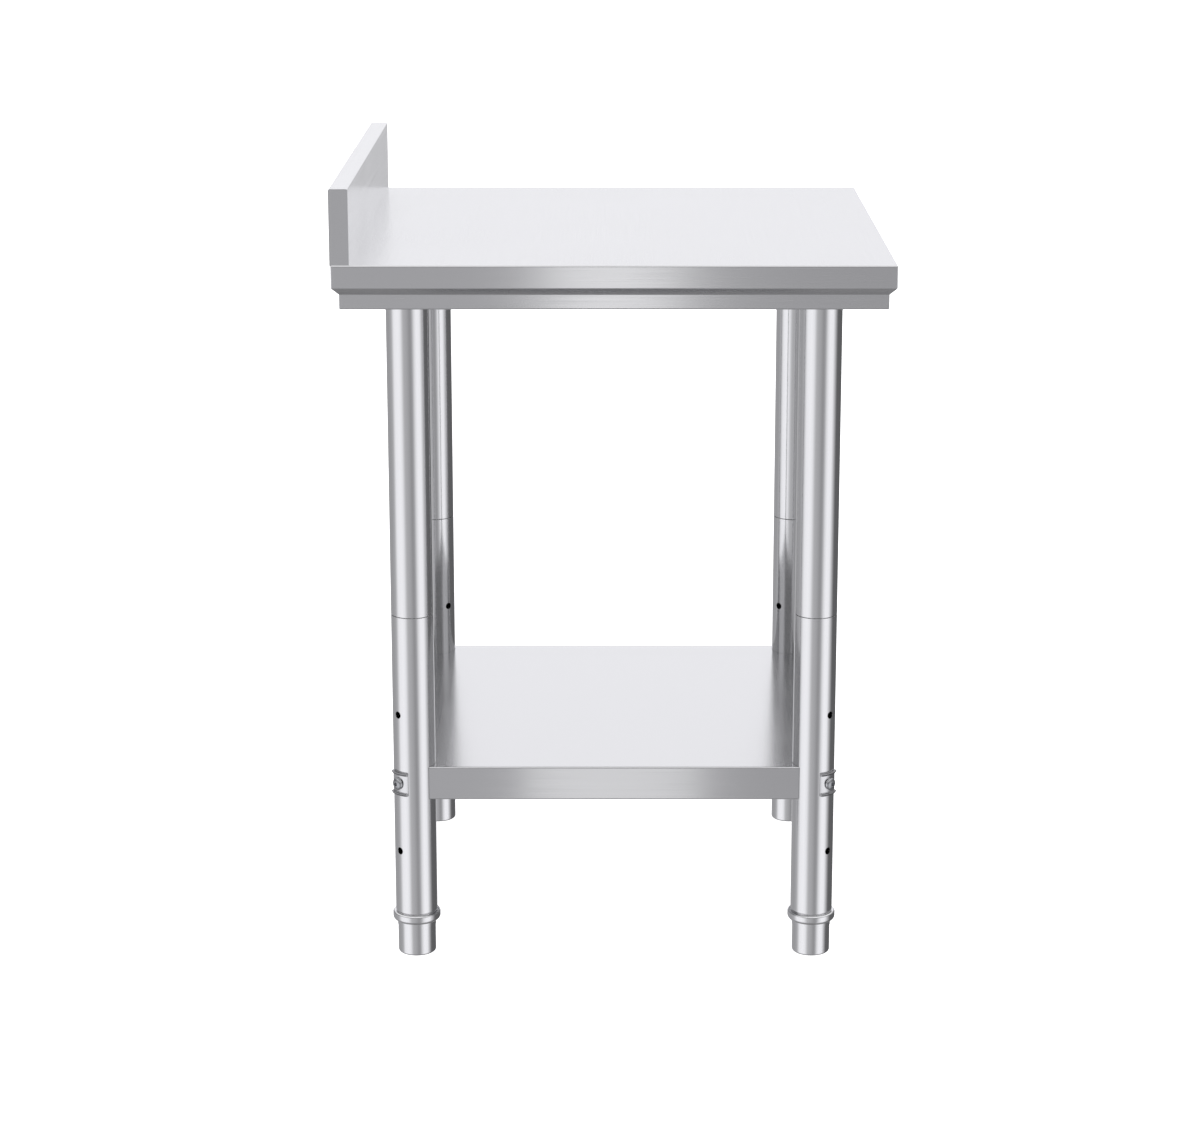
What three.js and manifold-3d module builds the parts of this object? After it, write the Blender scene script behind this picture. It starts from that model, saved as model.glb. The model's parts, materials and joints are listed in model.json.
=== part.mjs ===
// Stainless work table, 24 in square, with a backsplash, a lower shelf and screw-adjusted bullet feet.
// Millimetres, +Z up. Origin on the floor under the middle of the table.
// The user stands at -Y, the backsplash is at +Y, and the table's ends are at -X and +X.
import * as THREE from "three";
import { mergeVertices } from "three/addons/utils/BufferGeometryUtils.js";
import Module from "manifold-3d";

const wasm = await Module();
wasm.setup();

// ---------------------------------------------------------------- driving dimensions
const TOP_SIDE = 610; // the worktop is square
const TOP_HEIGHT = 815;
const SHEET = 1; // thickness of the worktop, backsplash and shelf sheet
const FASCIA = 25; // upright band under the worktop's edge
const EDGE_STEP = 8; // 45 degree fold inwards below the fascia
const SKIRT = 16.5; // lower, set-back band
const RETURN_LIP = 12; // hem folded inwards along the bottom of a sheet's edge
const SPLASH_RISE = 82;
const SPLASH_THICKNESS = 21;
const SPLASH_PROUD = 1; // the backsplash stands this far behind the worktop's rear edge
const CAP_INSET = 1.8; // its end caps stand just inside the rounded bend of the worktop's ends

const LEG_INSET = 77; // from the worktop's edge to a leg's axis
const TUBE_RADIUS = 24;
const TUBE_WALL = 1;
const JOINT_HEIGHT = 406; // where the lower leg ends and the upper leg begins
const COUPLING_LENGTH = 100;
const SOCKET_LENGTH = 31;

const SHELF_TOP = 228.5;
const SHELF_DEPTH = 39;
const HOLE_RADIUS = 4.5;
const HOLE_PITCH = 81.5; // between the three heights at which the shelf can be bolted
const BOLT_RADIUS = 4; // M8
const BOLT_LENGTH = 62;

const HAT_DEPTH = 12; // folded stiffener under the worktop and under the shelf
const HAT_WEB = 66;
const HAT_FLANGE = 12;

const COLLAR_TOP = 52; // underside of the leg tube
const COLLAR_RADIUS = 27.4;
const BARREL_RADIUS = 21.75;
const BARREL_TOP = 40.5;
const FOOT_TRAVEL = 25; // how far the foot screws up into the leg
const THREAD_LENGTH = 16;
const STUD_RADIUS = 8; // M16 x 2
const STUD_TOP = 80;

const FIT = 0.3; // clearance between pieces that fit together
const CLOSE_FIT = 0.2; // clearance of the foot in its guide, and of the guide in the leg
const ROUND = 24; // facets of a tube
const SMALL_ROUND = 12; // facets of a hole, bolt or stud

const HALF = TOP_SIDE / 2;
const LEG_AXIS = HALF - LEG_INSET;
const TOP_UNDERSIDE = TOP_HEIGHT - SHEET;
const SPLASH_FRONT = HALF + SPLASH_PROUD - SPLASH_THICKNESS;
const EDGE_DEPTH = FASCIA + EDGE_STEP + SKIRT;
const BOLT_HEIGHT = SHELF_TOP - SHELF_DEPTH / 2;
const SEAT_RADIUS = TUBE_RADIUS + FIT;
const TUBE_BORE = TUBE_RADIUS - TUBE_WALL;
// The shelf's sides meet the leg tubes halfway round, so its corners are bitten out by the tubes.
const SHELF_HALF = LEG_AXIS + SEAT_RADIUS * Math.SQRT1_2;

// ---------------------------------------------------------------- finishes
const finish = (color, roughness) => new THREE.MeshStandardMaterial({ color, roughness, metalness: 1 });
const satinSheet = finish(0xd9dadc, 0.3);
const polishedTube = finish(0xdcdde0, 0.14);
const galvanised = finish(0xaeb4b8, 0.5);
const zincPlated = finish(0xc4c6c8, 0.3);

// ---------------------------------------------------------------- shapes
/** A closed profile of [radius, height] pairs turned about the Z axis. */
function turned(profile, facets = ROUND) {
  const points = profile.map(([radius, height]) => new THREE.Vector2(radius, height));
  return new THREE.LatheGeometry(points, facets).rotateX(Math.PI / 2);
}

/** A tube standing on the Z axis. */
function tube(outer, inner, bottom, top, facets = ROUND) {
  return turned([[outer, bottom], [outer, top], [inner, top], [inner, bottom], [outer, bottom]], facets);
}

/** A rod lying along X. */
function rod(radius, fromX, toX, facets = SMALL_ROUND) {
  const length = toX - fromX;
  const middle = (fromX + toX) / 2;
  const upright = new THREE.CylinderGeometry(radius, radius, length, facets);
  return upright.rotateZ(Math.PI / 2).translate(middle, 0, 0);
}

/** A flat outline of [x, y] pairs given thickness upwards from the height z. */
function slab(outline, z, thickness) {
  const shape = new THREE.Shape(outline.map(([x, y]) => new THREE.Vector2(x, y)));
  return new THREE.ExtrudeGeometry(shape, { depth: thickness, bevelEnabled: false }).translate(0, 0, z);
}

/** A part of a ring between two angles in degrees, standing from bottom to top. */
function ringSector(inner, outer, fromDegrees, toDegrees, bottom, top, curveSegments = 4) {
  const from = THREE.MathUtils.degToRad(fromDegrees);
  const to = THREE.MathUtils.degToRad(toDegrees);
  const shape = new THREE.Shape();
  shape.absarc(0, 0, outer, from, to, false);
  shape.absarc(0, 0, inner, to, from, true);
  shape.closePath();
  const settings = { depth: top - bottom, bevelEnabled: false, curveSegments };
  return new THREE.ExtrudeGeometry(shape, settings).translate(0, 0, bottom);
}

function box(width, depth, height, x, y, z) {
  return new THREE.BoxGeometry(width, depth, height).translate(x, y, z);
}

// ---------------------------------------------------------------- booleans
function solidOf(geometry) {
  const bare = geometry.clone();
  bare.deleteAttribute("normal");
  bare.deleteAttribute("uv");
  const merged = mergeVertices(bare, 1e-4);
  return new wasm.Manifold(
    new wasm.Mesh({
      numProp: 3,
      vertProperties: merged.attributes.position.array,
      triVerts: new Uint32Array(merged.index.array),
    }),
  );
}

function geometryOf(solid) {
  const mesh = solid.getMesh();
  const geometry = new THREE.BufferGeometry();
  geometry.setAttribute("position", new THREE.BufferAttribute(new Float32Array(mesh.vertProperties), 3));
  geometry.setIndex(new THREE.BufferAttribute(new Uint32Array(mesh.triVerts), 1));
  geometry.computeVertexNormals();
  return geometry;
}

/** One geometry: the first list joined together, with the second list cut away. */
function built(joined, cut = []) {
  const whole = joined.map(solidOf).reduce((a, b) => a.add(b));
  return geometryOf(cut.map(solidOf).reduce((a, b) => a.subtract(b), whole));
}

// ---------------------------------------------------------------- assembly
const table = new THREE.Group();

function piece(name, geometry, material, parent = table) {
  const mesh = new THREE.Mesh(geometry, material);
  mesh.name = name;
  parent.add(mesh);
  return mesh;
}

// ---------------------------------------------------------------- worktop
/**
 * The tray of the worktop: a flat top whose four edges fold down, in, down and back in a hem.
 * Four lathe segments turn the section into a square with mitred corners, so radii run to the corners.
 */
function worktopTray() {
  const bottom = TOP_HEIGHT - EDGE_DEPTH;
  const skirtHalf = HALF - EDGE_STEP;
  const outside = [
    [0, TOP_UNDERSIDE],
    [HALF - SHEET, TOP_UNDERSIDE],
    [HALF - SHEET, TOP_HEIGHT - FASCIA],
    [skirtHalf - SHEET, TOP_HEIGHT - FASCIA - EDGE_STEP],
    [skirtHalf - SHEET, bottom + SHEET],
    [skirtHalf - SHEET - RETURN_LIP, bottom + SHEET],
    [skirtHalf - SHEET - RETURN_LIP, bottom],
    [skirtHalf, bottom],
    [skirtHalf, TOP_HEIGHT - FASCIA - EDGE_STEP],
    [HALF, TOP_HEIGHT - FASCIA],
    [HALF, TOP_HEIGHT],
    [0, TOP_HEIGHT],
  ];
  const toCorners = outside.map(([side, height]) => [side * Math.SQRT2, height]);
  return snapped(turned(toCorners, 4).rotateZ(Math.PI / 4));
}

/** Moves each vertex to the nearest hundredth of a millimetre, so that faces meant to be flush are flush. */
function snapped(geometry) {
  const { array } = geometry.attributes.position;
  array.forEach((value, i) => {
    array[i] = Math.round(value * 100) / 100;
  });
  return geometry;
}

/** A bar along X between two depths and two heights. */
function bar(length, [nearY, farY], [lowZ, highZ]) {
  return box(length, farY - nearY, highZ - lowZ, 0, (nearY + farY) / 2, (lowZ + highZ) / 2);
}

/**
 * The worktop sheet. At the rear the flat top turns up into the backsplash, runs back over it and comes down
 * behind it to the rear fascia, so the flat ends at the backsplash's foot and the backsplash is open below.
 */
function worktopSheet() {
  const front = SPLASH_FRONT;
  const rear = HALF + SPLASH_PROUD;
  const top = TOP_HEIGHT + SPLASH_RISE;
  const length = TOP_SIDE - 2 * (CAP_INSET + SHEET + FIT); // leaves the weld gap inside each end cap
  const trayWithoutStrip = built(
    [worktopTray()],
    [bar(TOP_SIDE + 2, [front, rear + 1], [TOP_UNDERSIDE, TOP_HEIGHT + 1])],
  );
  return built([
    trayWithoutStrip,
    bar(length, [front - 2, front + SHEET], [TOP_UNDERSIDE, TOP_HEIGHT]),
    bar(length, [front, front + SHEET], [TOP_UNDERSIDE, top]),
    bar(length, [front, rear], [top - SHEET, top]),
    bar(length, [rear - SHEET, rear], [TOP_HEIGHT, top]),
    bar(length, [HALF - SHEET, rear], [TOP_HEIGHT, TOP_HEIGHT + SHEET]),
    bar(length, [HALF - SHEET, HALF], [TOP_UNDERSIDE - 1, TOP_HEIGHT + SHEET]),
  ]);
}

/** A folded hat-section stiffener, running along X, with its flanges' top faces at z = 0. */
function hatStiffener(length) {
  const web = HAT_WEB / 2;
  const brim = web + HAT_FLANGE;
  const outline = [
    [-brim, -SHEET], [-web, -SHEET], [-web, -HAT_DEPTH], [web, -HAT_DEPTH], [web, -SHEET], [brim, -SHEET],
    [brim, 0], [web - SHEET, 0], [web - SHEET, SHEET - HAT_DEPTH], [SHEET - web, SHEET - HAT_DEPTH],
    [SHEET - web, 0], [-brim, 0],
  ];
  return slab(outline, -length / 2, length).rotateX(Math.PI / 2).rotateZ(Math.PI / 2);
}

piece("worktop_sheet", worktopSheet(), satinSheet);

const capMiddle = HALF - CAP_INSET - SHEET / 2;
for (const [side, x] of [["left", -capMiddle], ["right", capMiddle]]) {
  const height = SPLASH_RISE + SHEET;
  const cap = new THREE.BoxGeometry(SHEET, SPLASH_THICKNESS, height);
  const middle = SPLASH_FRONT + SPLASH_THICKNESS / 2;
  piece(`backsplash_end_cap_${side}`, cap, satinSheet).position.set(x, middle, TOP_UNDERSIDE + height / 2);
}

const hatLength = 2 * (HALF - EDGE_STEP - SHEET) - 2;
for (const [side, x] of [["left", -LEG_AXIS], ["middle", 0], ["right", LEG_AXIS]]) {
  const hat = hatStiffener(hatLength).rotateZ(Math.PI / 2);
  piece(`worktop_stiffener_${side}`, hat, galvanised).position.set(x, 0, TOP_UNDERSIDE);
}

// ---------------------------------------------------------------- shelf
/** The shelf's outline, with a round bite at each corner where a leg stands. */
function shelfOutline(half, biteRadius) {
  const shape = new THREE.Shape();
  // Where the bite's circle meets the shelf's side, as an angle from the side's own direction.
  const meet = Math.acos((half - LEG_AXIS) / biteRadius);
  const corners = [[1, 1, 0], [-1, 1, 1], [-1, -1, 2], [1, -1, 3]];
  for (const [sx, sy, quarter] of corners) {
    const turn = (quarter * Math.PI) / 2;
    shape.absarc(sx * LEG_AXIS, sy * LEG_AXIS, biteRadius, turn - meet, turn + Math.PI / 2 + meet, true);
  }
  shape.closePath();
  return shape;
}

function shelfSheet() {
  const bottom = SHELF_TOP - SHELF_DEPTH;
  const inside = 2 * (SHELF_HALF - SHEET);
  const solid = (shape, depth, z) =>
    new THREE.ExtrudeGeometry(shape, { depth, bevelEnabled: false, curveSegments: 8 }).translate(0, 0, z);
  const shell = built(
    [solid(shelfOutline(SHELF_HALF, SEAT_RADIUS), SHELF_DEPTH, bottom)],
    [box(inside, inside, SHELF_DEPTH, 0, 0, bottom - SHEET + SHELF_DEPTH / 2)],
  );
  const lipInside = inside - 2 * RETURN_LIP;
  const seatRoom = TUBE_RADIUS + 3;
  const lip = built(
    [box(inside + SHEET, inside + SHEET, SHEET, 0, 0, bottom + SHEET / 2)],
    [
      box(lipInside, lipInside, 4 * SHEET, 0, 0, bottom),
      ...legAxes().map(([x, y]) => tubeRoom(seatRoom, bottom).translate(x, y, 0)),
    ],
  );
  return built([shell, lip]);
}

function tubeRoom(radius, z) {
  return new THREE.CylinderGeometry(radius, radius, 4 * SHEET, ROUND).rotateX(Math.PI / 2).translate(0, 0, z);
}

function legAxes() {
  return [[1, 1], [-1, 1], [-1, -1], [1, -1]].map(([sx, sy]) => [sx * LEG_AXIS, sy * LEG_AXIS]);
}

piece("shelf_sheet", shelfSheet(), satinSheet);
const shelfHat = hatStiffener(2 * (SHELF_HALF - SHEET) - 2);
piece("shelf_stiffener", shelfHat, galvanised).position.set(0, 0, SHELF_TOP - SHEET);

// ---------------------------------------------------------------- one leg, X pointing out to the corner
/** Base plate and collar under the worktop that takes the top of the leg, with a boss for its screw. */
function legSocket() {
  const plateTop = TOP_UNDERSIDE - HAT_DEPTH - FIT;
  const plateThickness = 2.5;
  const plateBottom = plateTop - plateThickness;
  const collarWall = 2.5;
  const bossRadius = 6.5;
  const side = HAT_WEB - 4;
  const plate = box(side, side, plateThickness, 0, 0, plateTop - plateThickness / 2).rotateZ(Math.PI / 4);
  const collar = tube(SEAT_RADIUS + collarWall, SEAT_RADIUS, plateBottom - SOCKET_LENGTH, plateBottom + 1);
  const screwHeight = plateBottom - SOCKET_LENGTH / 2;
  const boss = rod(bossRadius, -SEAT_RADIUS - 8, -SEAT_RADIUS - 1).translate(0, 0, screwHeight);
  const bore = rod(BOLT_RADIUS + FIT, -SEAT_RADIUS - 9, -SEAT_RADIUS + 2).translate(0, 0, screwHeight);
  return { geometry: built([plate, collar, boss], [bore]), plateBottom, screwHeight };
}

/** Grub screw with a hexagon socket in its outer end. */
function socketScrew() {
  const outerEnd = -SEAT_RADIUS - 9;
  const hexagon = rod(2.3, outerEnd - 1, outerEnd + 4, 6);
  return built([rod(BOLT_RADIUS, outerEnd, -TUBE_RADIUS - FIT)], [hexagon]);
}

function lowerLeg() {
  const holes = [-1, 0, 1].map((step) =>
    rod(HOLE_RADIUS, -TUBE_RADIUS - 2, TUBE_RADIUS + 2).translate(0, 0, BOLT_HEIGHT + step * HOLE_PITCH),
  );
  return built([tube(TUBE_RADIUS, TUBE_BORE, COLLAR_TOP + FIT, JOINT_HEIGHT - FIT / 2)], holes);
}

/** Curved washer between the bolt's head and the leg, with a stiffening lip along its top and bottom. */
function saddleWasher() {
  const halfHeight = 13.5;
  const halfAngle = 30;
  const thickness = 1.2;
  const lip = 3;
  const outer = SEAT_RADIUS + thickness;
  const [low, high] = [BOLT_HEIGHT - halfHeight, BOLT_HEIGHT + halfHeight];
  const sector = (radius, bottom, top) => ringSector(SEAT_RADIUS, radius, -halfAngle, halfAngle, bottom, top);
  const lips = [[low, low + thickness], [high - thickness, high]];
  return built(
    [sector(outer, low, high), ...lips.map(([bottom, top]) => sector(outer + lip, bottom, top))],
    [rod(HOLE_RADIUS, SEAT_RADIUS - 3, outer + 3).translate(0, 0, BOLT_HEIGHT)],
  );
}

/** Button-head M8 bolt that runs in through the washer, both walls of the leg and the shelf's corner. */
function shelfBolt() {
  const underHead = SEAT_RADIUS + 1.2 + FIT;
  const headHeight = 4.4;
  const headProfile = [[0, 0], [7, 0], [7, 1.6], [5.6, 3.4], [3.6, headHeight], [0, headHeight]];
  const head = turned(headProfile, SMALL_ROUND).rotateY(Math.PI / 2).translate(underHead, 0, 0);
  const shank = rod(BOLT_RADIUS, underHead - BOLT_LENGTH, underHead + 1);
  const hexagon = rod(2.9, underHead + headHeight - 2.6, underHead + headHeight + 1, 6);
  return built([head, shank], [hexagon]).translate(0, 0, BOLT_HEIGHT);
}

/** Half-round seat, welded inside the shelf's corner, that the leg lies in. */
function cornerSeat() {
  const clearOfSides = 8; // degrees left free at each end for the shelf's own folded sides
  const [low, high] = [SHELF_TOP - SHELF_DEPTH + SHEET, SHELF_TOP - SHEET - FIT];
  return built(
    [ringSector(SEAT_RADIUS, SEAT_RADIUS + 1.2, 90 + clearOfSides, 270 - clearOfSides, low, high, 8)],
    [rod(HOLE_RADIUS, -SEAT_RADIUS - 4, -SEAT_RADIUS + 4).translate(0, 0, BOLT_HEIGHT)],
  );
}

function shelfNut() {
  const face = -SEAT_RADIUS - 1.2 - FIT;
  const thickness = 6.5;
  const acrossCorners = 15;
  const hexagon = rod(acrossCorners / 2, face - thickness, face, 6);
  const bore = rod(BOLT_RADIUS + FIT, face - thickness - 1, face + 1);
  return built([hexagon], [bore]).translate(0, 0, BOLT_HEIGHT);
}

/** Pressed foot insert: a collar under the tube, a guide for the barrel and a nut at the guide's top. */
function footCollar() {
  const guide = BARREL_RADIUS + CLOSE_FIT;
  const outside = TUBE_BORE - CLOSE_FIT;
  const nutBottom = BARREL_TOP + FOOT_TRAVEL + 1.5;
  const nutTop = nutBottom + THREAD_LENGTH;
  const bore = STUD_RADIUS + FIT;
  return turned([
    [bore, nutBottom], [guide, nutBottom], [guide, 33.5], [guide + 0.6, 33.5], [COLLAR_RADIUS, 43.5],
    [COLLAR_RADIUS, 46.5], [TUBE_RADIUS + 0.6, COLLAR_TOP], [outside, COLLAR_TOP], [outside, nutTop],
    [bore, nutTop], [bore, nutBottom],
  ]);
}

/** Turned foot barrel: an open cup with a rounded bottom edge and a boss for the stud. */
function footBarrel() {
  const inside = BARREL_RADIUS - 1.5;
  const floor = 6;
  return turned([
    [0, 0], [17, 0], [19.6, 0.8], [21.2, 2.6], [BARREL_RADIUS, 5], [BARREL_RADIUS, BARREL_TOP],
    [inside, BARREL_TOP], [inside, floor], [STUD_RADIUS + 4, floor], [STUD_RADIUS + 4, floor + 8],
    [STUD_RADIUS + FIT, floor + 8], [STUD_RADIUS + FIT, floor], [0, floor],
  ]);
}

function footStud() {
  const bottom = 6.3; // just above the barrel's floor
  const profile = [
    [0, bottom], [STUD_RADIUS, bottom], [STUD_RADIUS, STUD_TOP - 2], [STUD_RADIUS - 2, STUD_TOP],
    [0, STUD_TOP],
  ];
  return turned(profile, SMALL_ROUND);
}

function addLeg(corner, sx, sy) {
  const leg = new THREE.Group();
  leg.position.set(sx * LEG_AXIS, sy * LEG_AXIS, 0);
  leg.rotation.z = Math.atan2(sy, sx);
  table.add(leg);

  const socket = legSocket();
  piece(`leg_socket_${corner}`, socket.geometry, galvanised, leg);
  piece(`socket_screw_${corner}`, socketScrew(), zincPlated, leg).position.z = socket.screwHeight;
  const upperTop = socket.plateBottom - FIT;
  const upperLeg = tube(TUBE_RADIUS, TUBE_BORE, JOINT_HEIGHT + FIT / 2, upperTop);
  piece(`upper_leg_${corner}`, upperLeg, polishedTube, leg);
  const reach = COUPLING_LENGTH / 2;
  const sleeveRadius = TUBE_BORE - FIT;
  const sleeve = tube(sleeveRadius, sleeveRadius - 1.5, JOINT_HEIGHT - reach, JOINT_HEIGHT + reach);
  piece(`leg_coupling_${corner}`, sleeve, zincPlated, leg);
  piece(`lower_leg_${corner}`, lowerLeg(), polishedTube, leg);
  piece(`saddle_washer_${corner}`, saddleWasher(), zincPlated, leg);
  piece(`shelf_bolt_${corner}`, shelfBolt(), zincPlated, leg);
  piece(`shelf_corner_seat_${corner}`, cornerSeat(), satinSheet, leg);
  piece(`shelf_nut_${corner}`, shelfNut(), zincPlated, leg);
  piece(`foot_collar_${corner}`, footCollar(), polishedTube, leg);
  piece(`foot_stud_${corner}`, footStud(), zincPlated, leg);
  piece(`foot_barrel_${corner}`, footBarrel(), polishedTube, leg);
}

addLeg("front_left", -1, -1);
addLeg("front_right", 1, -1);
addLeg("rear_left", -1, 1);
addLeg("rear_right", 1, 1);

table.position.y = -SPLASH_PROUD / 2; // the outline, with the backsplash, is centred on the origin

export default table;
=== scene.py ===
# %% [markdown]
# A small stainless work table, dressed for a studio picture.
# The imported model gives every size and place. This script builds the fine surface of each piece round it:
# folded sheet with real bend radii, round tube, turned feet, pressed washers and threaded bolts.

# %% Load the frame
import json
import math

import bmesh
import bpy
from mathutils import Matrix, Vector


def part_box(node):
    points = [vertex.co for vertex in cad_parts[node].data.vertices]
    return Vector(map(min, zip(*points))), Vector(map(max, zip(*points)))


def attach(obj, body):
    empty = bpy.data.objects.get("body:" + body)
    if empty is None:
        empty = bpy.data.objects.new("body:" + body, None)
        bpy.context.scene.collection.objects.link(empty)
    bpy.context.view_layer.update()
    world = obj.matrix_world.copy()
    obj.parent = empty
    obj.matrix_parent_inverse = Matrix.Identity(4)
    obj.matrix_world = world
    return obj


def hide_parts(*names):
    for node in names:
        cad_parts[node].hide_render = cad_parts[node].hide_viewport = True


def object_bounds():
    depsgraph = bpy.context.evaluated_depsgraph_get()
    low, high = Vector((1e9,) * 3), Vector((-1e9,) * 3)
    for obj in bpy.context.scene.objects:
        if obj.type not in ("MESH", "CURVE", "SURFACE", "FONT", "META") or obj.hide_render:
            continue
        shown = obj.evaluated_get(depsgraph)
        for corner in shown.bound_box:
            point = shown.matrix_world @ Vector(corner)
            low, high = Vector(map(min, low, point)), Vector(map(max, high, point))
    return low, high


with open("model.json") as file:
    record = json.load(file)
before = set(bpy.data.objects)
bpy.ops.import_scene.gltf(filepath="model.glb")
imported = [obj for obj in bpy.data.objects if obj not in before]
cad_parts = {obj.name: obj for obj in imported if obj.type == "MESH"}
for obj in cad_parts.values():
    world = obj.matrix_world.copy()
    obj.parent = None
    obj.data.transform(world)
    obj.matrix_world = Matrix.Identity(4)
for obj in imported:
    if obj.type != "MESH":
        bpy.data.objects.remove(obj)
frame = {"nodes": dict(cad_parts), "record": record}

cad_low, cad_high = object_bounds()
print("CAD box", [round(v, 4) for v in cad_low], [round(v, 4) for v in cad_high])

# %% [markdown]
# The camera stands at the table's left end, so that the backsplash is on the left of the picture. A long
# lens far away keeps the legs nearly parallel. It looks down a little, from about chest height. The lens
# could be shifted instead of tilted, which is how a studio keeps uprights upright, but a large shift
# would push the table out of the other views, so the shift stays small.

# %% Camera
END_OF_TABLE = cad_low.x
CAMERA_DISTANCE = 3.24
CAMERA_SIDE = 0.004
CAMERA_HEIGHT = 1.3483
CAMERA_PITCH = math.radians(13.871)
CAMERA_LENS = 91.53

camera_data = bpy.data.cameras.new("camera")
camera_data.lens = CAMERA_LENS
camera_data.sensor_width = 36
camera_data.shift_x = -0.0084
camera_data.shift_y = -0.045
camera = bpy.data.objects.new("camera", camera_data)
camera.location = (END_OF_TABLE - CAMERA_DISTANCE, CAMERA_SIDE, CAMERA_HEIGHT)
camera.rotation_euler = (math.pi / 2 - CAMERA_PITCH, 0, -math.pi / 2)
bpy.context.scene.collection.objects.link(camera)
bpy.context.scene.camera = camera
print("camera", tuple(round(v, 3) for v in camera.location), "lens", CAMERA_LENS)

# %% [markdown]
# Materials come as node trees. A few small helpers keep them short. One adds a node and sets its inputs,
# one starts a material whose coordinates follow the piece, so the grain moves with it, and one wires up
# the shader.

# %% Node helpers
def add_node(tree, kind, inputs=None, **settings):
    """Adds a node, sets its properties, and sets or links its inputs."""
    node = tree.nodes.new(kind)
    for name, value in settings.items():
        setattr(node, name, value)
    for name, value in (inputs or {}).items():
        if isinstance(value, bpy.types.NodeSocket):
            tree.links.new(value, node.inputs[name])
        else:
            node.inputs[name].default_value = value
    return node


def ramp(tree, source, low, high):
    """Maps the middle of a 0 to 1 value to the range low to high, and clamps what lies outside."""
    spread = add_node(tree, "ShaderNodeMapRange", {"Value": source, "From Min": 0.3, "From Max": 0.7,
                                                   "To Min": low, "To Max": high})
    return spread.outputs["Result"]


def stretched_noise(tree, coordinates, scale, detail=3.0):
    """Noise whose lumps are drawn out along the axis with the smallest scale, in lumps per metre."""
    mapping = add_node(tree, "ShaderNodeMapping", {"Vector": coordinates, "Scale": scale})
    noise = add_node(tree, "ShaderNodeTexNoise", {"Vector": mapping.outputs["Vector"], "Scale": 1.0,
                                                  "Detail": detail, "Roughness": 0.6})
    return noise.outputs["Fac"]


def start_metal(name):
    material = bpy.data.materials.new(name)
    material.use_nodes = True
    tree = material.node_tree
    shader = tree.nodes["Principled BSDF"]
    shader.inputs["Metallic"].default_value = 1.0
    coordinates = add_node(tree, "ShaderNodeTexCoord").outputs["Object"]
    return material, tree, shader, coordinates


# A Mix node's colour sockets share their names with its number sockets, so they are found by place.
COLOUR_A, COLOUR_B, MIXED_COLOUR = 6, 7, 2


def grey_between(tree, factor, dark, light):
    mix = add_node(tree, "ShaderNodeMix", {"Factor": factor}, data_type="RGBA")
    mix.inputs[COLOUR_A].default_value = (*dark, 1)
    mix.inputs[COLOUR_B].default_value = (*light, 1)
    return mix.outputs[MIXED_COLOUR]


def combine(tree, operation, *values):
    """The result of a Math node for two or three values."""
    return add_node(tree, "ShaderNodeMath", dict(enumerate(values)), operation=operation).outputs[0]


def worn_edges(tree, low=0.52, high=0.60):
    """1 on convex edges that hands and cloths have polished, 0 on the flat."""
    geometry = add_node(tree, "ShaderNodeNewGeometry")
    edges = add_node(tree, "ShaderNodeMapRange", {"Value": geometry.outputs["Pointiness"],
                                                  "From Min": low, "From Max": high})
    return edges.outputs["Result"]


def wire_metal(tree, shader, colour, roughness, relief, strength, depth=0.0002):
    """Gives the shader its colour, its roughness and a fine relief of the given depth."""
    bump = add_node(tree, "ShaderNodeBump", {"Height": relief, "Strength": strength, "Distance": depth})
    tree.links.new(colour, shader.inputs["Base Color"])
    tree.links.new(roughness, shader.inputs["Roughness"])
    tree.links.new(bump.outputs["Normal"], shader.inputs["Normal"])

# %% [markdown]
# Satin sheet is ground with an abrasive belt, which leaves thousands of straight, hair-fine scratches one
# way. They could be drawn as real grooves, but they are far finer than the mesh. Noise stretched along
# the grain gives the same three signs of them: a streaky colour, a streaky roughness and a slight
# corrugation.

# %% Satin stainless
GRAIN_ALONG = 6.0  # lumps per metre along the grain
GRAIN_ACROSS = 1400.0


def satin_stainless(name, grain_axis):
    material, tree, shader, coordinates = start_metal(name)
    scale = [GRAIN_ACROSS] * 3
    scale[grain_axis] = GRAIN_ALONG
    grain = stretched_noise(tree, coordinates, scale)
    cloudy = stretched_noise(tree, coordinates, (5.0, 5.0, 5.0), 2.0)
    tone = combine(tree, "MULTIPLY_ADD", grain, cloudy, 0.25)
    colour = grey_between(tree, tone, (0.735, 0.735, 0.745), (0.785, 0.785, 0.795))
    streaks = combine(tree, "ADD", ramp(tree, grain, 0.20, 0.27), ramp(tree, cloudy, -0.012, 0.02))
    polish = combine(tree, "MULTIPLY", worn_edges(tree), 0.06)
    wire_metal(tree, shader, colour, combine(tree, "SUBTRACT", streaks, polish), grain, 0.05)
    return material


satin_along_x = satin_stainless("satin_stainless_grain_x", 0)
satin_along_y = satin_stainless("satin_stainless_grain_y", 1)

# %% [markdown]
# The leg tube and the turned feet are polished brighter. Polishing belts and the lathe both leave rings
# round the piece, so this grain is fine along the axis and long round it. Handling adds faint cloudy
# patches.

# %% Polished stainless
def polished_stainless(name, rings_per_metre, roughness):
    material, tree, shader, coordinates = start_metal(name)
    rings = stretched_noise(tree, coordinates, (12.0, 12.0, rings_per_metre))
    smudges = stretched_noise(tree, coordinates, (26.0, 26.0, 7.0), 4.0)
    colour = grey_between(tree, smudges, (0.765, 0.765, 0.775), (0.805, 0.805, 0.812))
    ground = ramp(tree, rings, roughness - 0.02, roughness + 0.025)
    handled = combine(tree, "ADD", ground, ramp(tree, smudges, -0.01, 0.02))
    polish = combine(tree, "MULTIPLY", worn_edges(tree), 0.03)
    wire_metal(tree, shader, colour, combine(tree, "SUBTRACT", handled, polish), rings, 0.03)
    return material


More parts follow.
